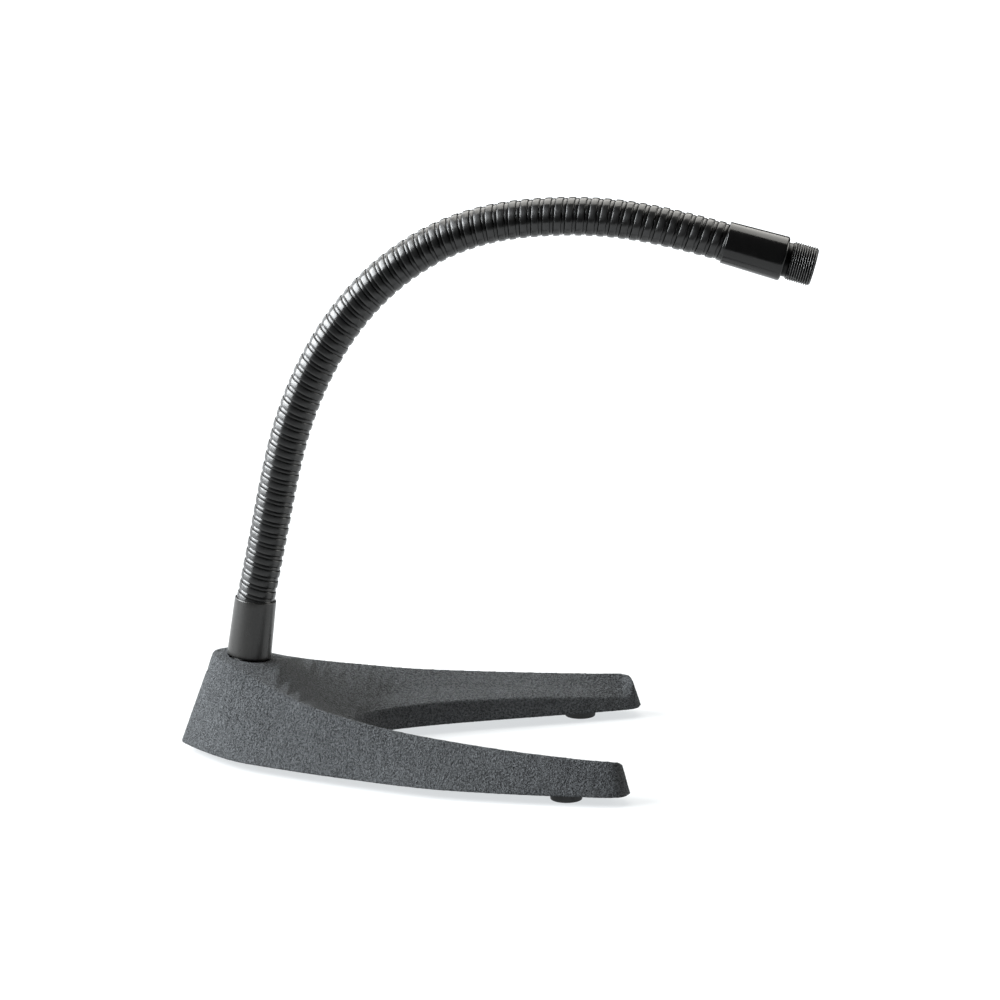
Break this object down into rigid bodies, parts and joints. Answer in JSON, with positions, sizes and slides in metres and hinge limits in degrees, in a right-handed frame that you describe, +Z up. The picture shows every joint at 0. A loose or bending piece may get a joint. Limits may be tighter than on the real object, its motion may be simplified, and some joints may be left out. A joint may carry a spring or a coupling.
{
  "type": "desktop microphone stand",
  "caption": "Desk microphone stand: heavy V-shaped cast base with rubber feet and a long flexible gooseneck ending in a threaded stud.",
  "frame": {"origin": "on the desk plane, directly below the point where the gooseneck stands on the base, which is also the centre of the rear foot's contact face", "axes": "+Z up; +X forward, towards the leg tips and the threaded end; +Y to the left; XZ is the plane of symmetry at rest"},
  "size_m": [0.2569, 0.1468, 0.2298],
  "materials": {
    "cast_paint": "charcoal grey wrinkle paint on a cast base",
    "gloss_paint": "gloss black paint on steel wire and sleeve",
    "satin_paint": "satin black paint on a steel sleeve",
    "black_steel": "black oxide on turned steel",
    "rubber": "matt black rubber"
  },
  "bodies": {
    "base": {"base_casting": "cast_paint", "foot_rear": "rubber", "foot_front_left": "rubber", "foot_front_right": "rubber", "neck_set_screw": "black_steel", "lower_stud": "black_steel", "lower_ferrule": "satin_paint", "gooseneck_section_00": "gloss_paint"},
    "section_01": {"gooseneck_section_01": "gloss_paint"},
    "section_02": {"gooseneck_section_02": "gloss_paint"},
    "section_03": {"gooseneck_section_03": "gloss_paint"},
    "section_04": {"gooseneck_section_04": "gloss_paint"},
    "section_05": {"gooseneck_section_05": "gloss_paint"},
    "section_06": {"gooseneck_section_06": "gloss_paint"},
    "section_07": {"gooseneck_section_07": "gloss_paint"},
    "section_08": {"gooseneck_section_08": "gloss_paint"},
    "section_09": {"gooseneck_section_09": "gloss_paint"},
    "section_10": {"gooseneck_section_10": "gloss_paint"},
    "section_11": {"gooseneck_section_11": "gloss_paint"},
    "section_12": {"gooseneck_section_12": "gloss_paint"},
    "section_13": {"gooseneck_section_13": "gloss_paint"},
    "section_14": {"gooseneck_section_14": "gloss_paint"},
    "section_15": {"gooseneck_section_15": "gloss_paint"},
    "section_16": {"gooseneck_section_16": "gloss_paint"},
    "section_17": {"gooseneck_section_17": "gloss_paint"},
    "section_18": {"gooseneck_section_18": "gloss_paint"},
    "section_19": {"gooseneck_section_19": "gloss_paint"},
    "section_20": {"gooseneck_section_20": "gloss_paint"},
    "section_21": {"gooseneck_section_21": "gloss_paint"},
    "head": {"gooseneck_section_22": "gloss_paint", "upper_ferrule": "gloss_paint", "upper_stud": "black_steel"}
  },
  "joints": [
    {"name": "bend_01", "type": "hinge", "parent": "base", "child": "section_01", "pos_m": [0.0044, 0, 0.07073], "axis": [0.001, 1, 0], "range_deg": [-4.36, 1.32]},
    {"name": "sway_02", "type": "hinge", "parent": "section_01", "child": "section_02", "pos_m": [0.00706, 0, 0.08362], "axis": [-0.9804, 0, 0.1968], "range_deg": [-6, 6]},
    {"name": "bend_03", "type": "hinge", "parent": "section_02", "child": "section_03", "pos_m": [0.00958, 0, 0.09655], "axis": [0.001, 1, 0], "range_deg": [-0.25, 0.09]},
    {"name": "sway_04", "type": "hinge", "parent": "section_03", "child": "section_04", "pos_m": [0.01212, 0, 0.10947], "axis": [-0.9796, 0, 0.2009], "range_deg": [-6, 6]},
    {"name": "bend_05", "type": "hinge", "parent": "section_04", "child": "section_05", "pos_m": [0.01482, 0, 0.1221], "axis": [0.001, 1, 0], "range_deg": [-5.5, 1.67]},
    {"name": "lower_sway", "type": "hinge", "parent": "section_05", "child": "section_06", "pos_m": [0.01819, 0, 0.13483], "axis": [-0.9559, 0, 0.2936], "range_deg": [-6, 6]},
    {"name": "bend_07", "type": "hinge", "parent": "section_06", "child": "section_07", "pos_m": [0.02254, 0, 0.14725], "axis": [0.001, 1, 0], "range_deg": [-9.48, 2.87]},
    {"name": "sway_08", "type": "hinge", "parent": "section_07", "child": "section_08", "pos_m": [0.02782, 0, 0.15904], "axis": [-0.8945, 0, 0.447], "range_deg": [-6, 6]},
    {"name": "bend_09", "type": "hinge", "parent": "section_08", "child": "section_09", "pos_m": [0.0342, 0, 0.17055], "axis": [0.001, 1, 0], "range_deg": [-11.21, 3.39]},
    {"name": "sway_10", "type": "hinge", "parent": "section_09", "child": "section_10", "pos_m": [0.04168, 0, 0.18139], "axis": [-0.7906, 0, 0.6124], "range_deg": [-6, 6]},
    {"name": "lower_bend", "type": "hinge", "parent": "section_10", "child": "section_11", "pos_m": [0.0503, 0, 0.19133], "axis": [0.001, 1, 0], "range_deg": [-13.6, 4.1]},
    {"name": "sway_12", "type": "hinge", "parent": "section_11", "child": "section_12", "pos_m": [0.05985, 0, 0.20002], "axis": [-0.6242, 0, 0.7813], "range_deg": [-6, 6]},
    {"name": "upper_bend", "type": "hinge", "parent": "section_12", "child": "section_13", "pos_m": [0.07063, 0, 0.20756], "axis": [0.001, 1, 0], "range_deg": [-15.5, 4.6]},
    {"name": "sway_14", "type": "hinge", "parent": "section_13", "child": "section_14", "pos_m": [0.08233, 0, 0.21358], "axis": [-0.3934, 0, 0.9194], "range_deg": [-6, 6]},
    {"name": "bend_15", "type": "hinge", "parent": "section_14", "child": "section_15", "pos_m": [0.09476, 0, 0.21788], "axis": [0.001, 1, 0], "range_deg": [-14.84, 4.41]},
    {"name": "upper_sway", "type": "hinge", "parent": "section_15", "child": "section_16", "pos_m": [0.10743, 0, 0.2204], "axis": [-0.1459, 0, 0.9893], "range_deg": [-6, 6]},
    {"name": "bend_17", "type": "hinge", "parent": "section_16", "child": "section_17", "pos_m": [0.12053, 0, 0.22167], "axis": [0.001, 1, 0], "range_deg": [-8.94, 2.66]},
    {"name": "sway_18", "type": "hinge", "parent": "section_17", "child": "section_18", "pos_m": [0.13369, 0, 0.22205], "axis": [0.0088, 0, 1], "range_deg": [-6, 6]},
    {"name": "bend_19", "type": "hinge", "parent": "section_18", "child": "section_19", "pos_m": [0.14659, 0, 0.22145], "axis": [0.001, 1, 0], "range_deg": [-9.34, 2.78]},
    {"name": "sway_20", "type": "hinge", "parent": "section_19", "child": "section_20", "pos_m": [0.15963, 0, 0.21967], "axis": [0.1702, 0, 0.9854], "range_deg": [-6, 6]},
    {"name": "bend_21", "type": "hinge", "parent": "section_20", "child": "section_21", "pos_m": [0.17252, 0, 0.21697], "axis": [0.001, 1, 0], "range_deg": [-5.63, 1.68]},
    {"name": "sway_22", "type": "hinge", "parent": "section_21", "child": "head", "pos_m": [0.1853, 0, 0.21381], "axis": [0.2528, 0, 0.9675], "range_deg": [-6, 6]}
  ],
  "couplings": [
    {"joint": "bend_01", "follows": "lower_bend", "ratio": 0.3195},
    {"joint": "sway_02", "follows": "lower_sway", "ratio": 1},
    {"joint": "bend_03", "follows": "lower_bend", "ratio": 0.0174},
    {"joint": "sway_04", "follows": "lower_sway", "ratio": 1},
    {"joint": "bend_05", "follows": "lower_bend", "ratio": 0.403},
    {"joint": "bend_07", "follows": "lower_bend", "ratio": 0.6958},
    {"joint": "sway_08", "follows": "lower_sway", "ratio": 1},
    {"joint": "bend_09", "follows": "lower_bend", "ratio": 0.8231},
    {"joint": "sway_10", "follows": "lower_sway", "ratio": 1},
    {"joint": "sway_12", "follows": "upper_sway", "ratio": 1},
    {"joint": "sway_14", "follows": "upper_sway", "ratio": 1},
    {"joint": "bend_15", "follows": "upper_bend", "ratio": 0.9562},
    {"joint": "bend_17", "follows": "upper_bend", "ratio": 0.5756},
    {"joint": "sway_18", "follows": "upper_sway", "ratio": 1},
    {"joint": "bend_19", "follows": "upper_bend", "ratio": 0.6017},
    {"joint": "sway_20", "follows": "upper_sway", "ratio": 1},
    {"joint": "bend_21", "follows": "upper_bend", "ratio": 0.3623},
    {"joint": "sway_22", "follows": "upper_sway", "ratio": 1}
  ]
}
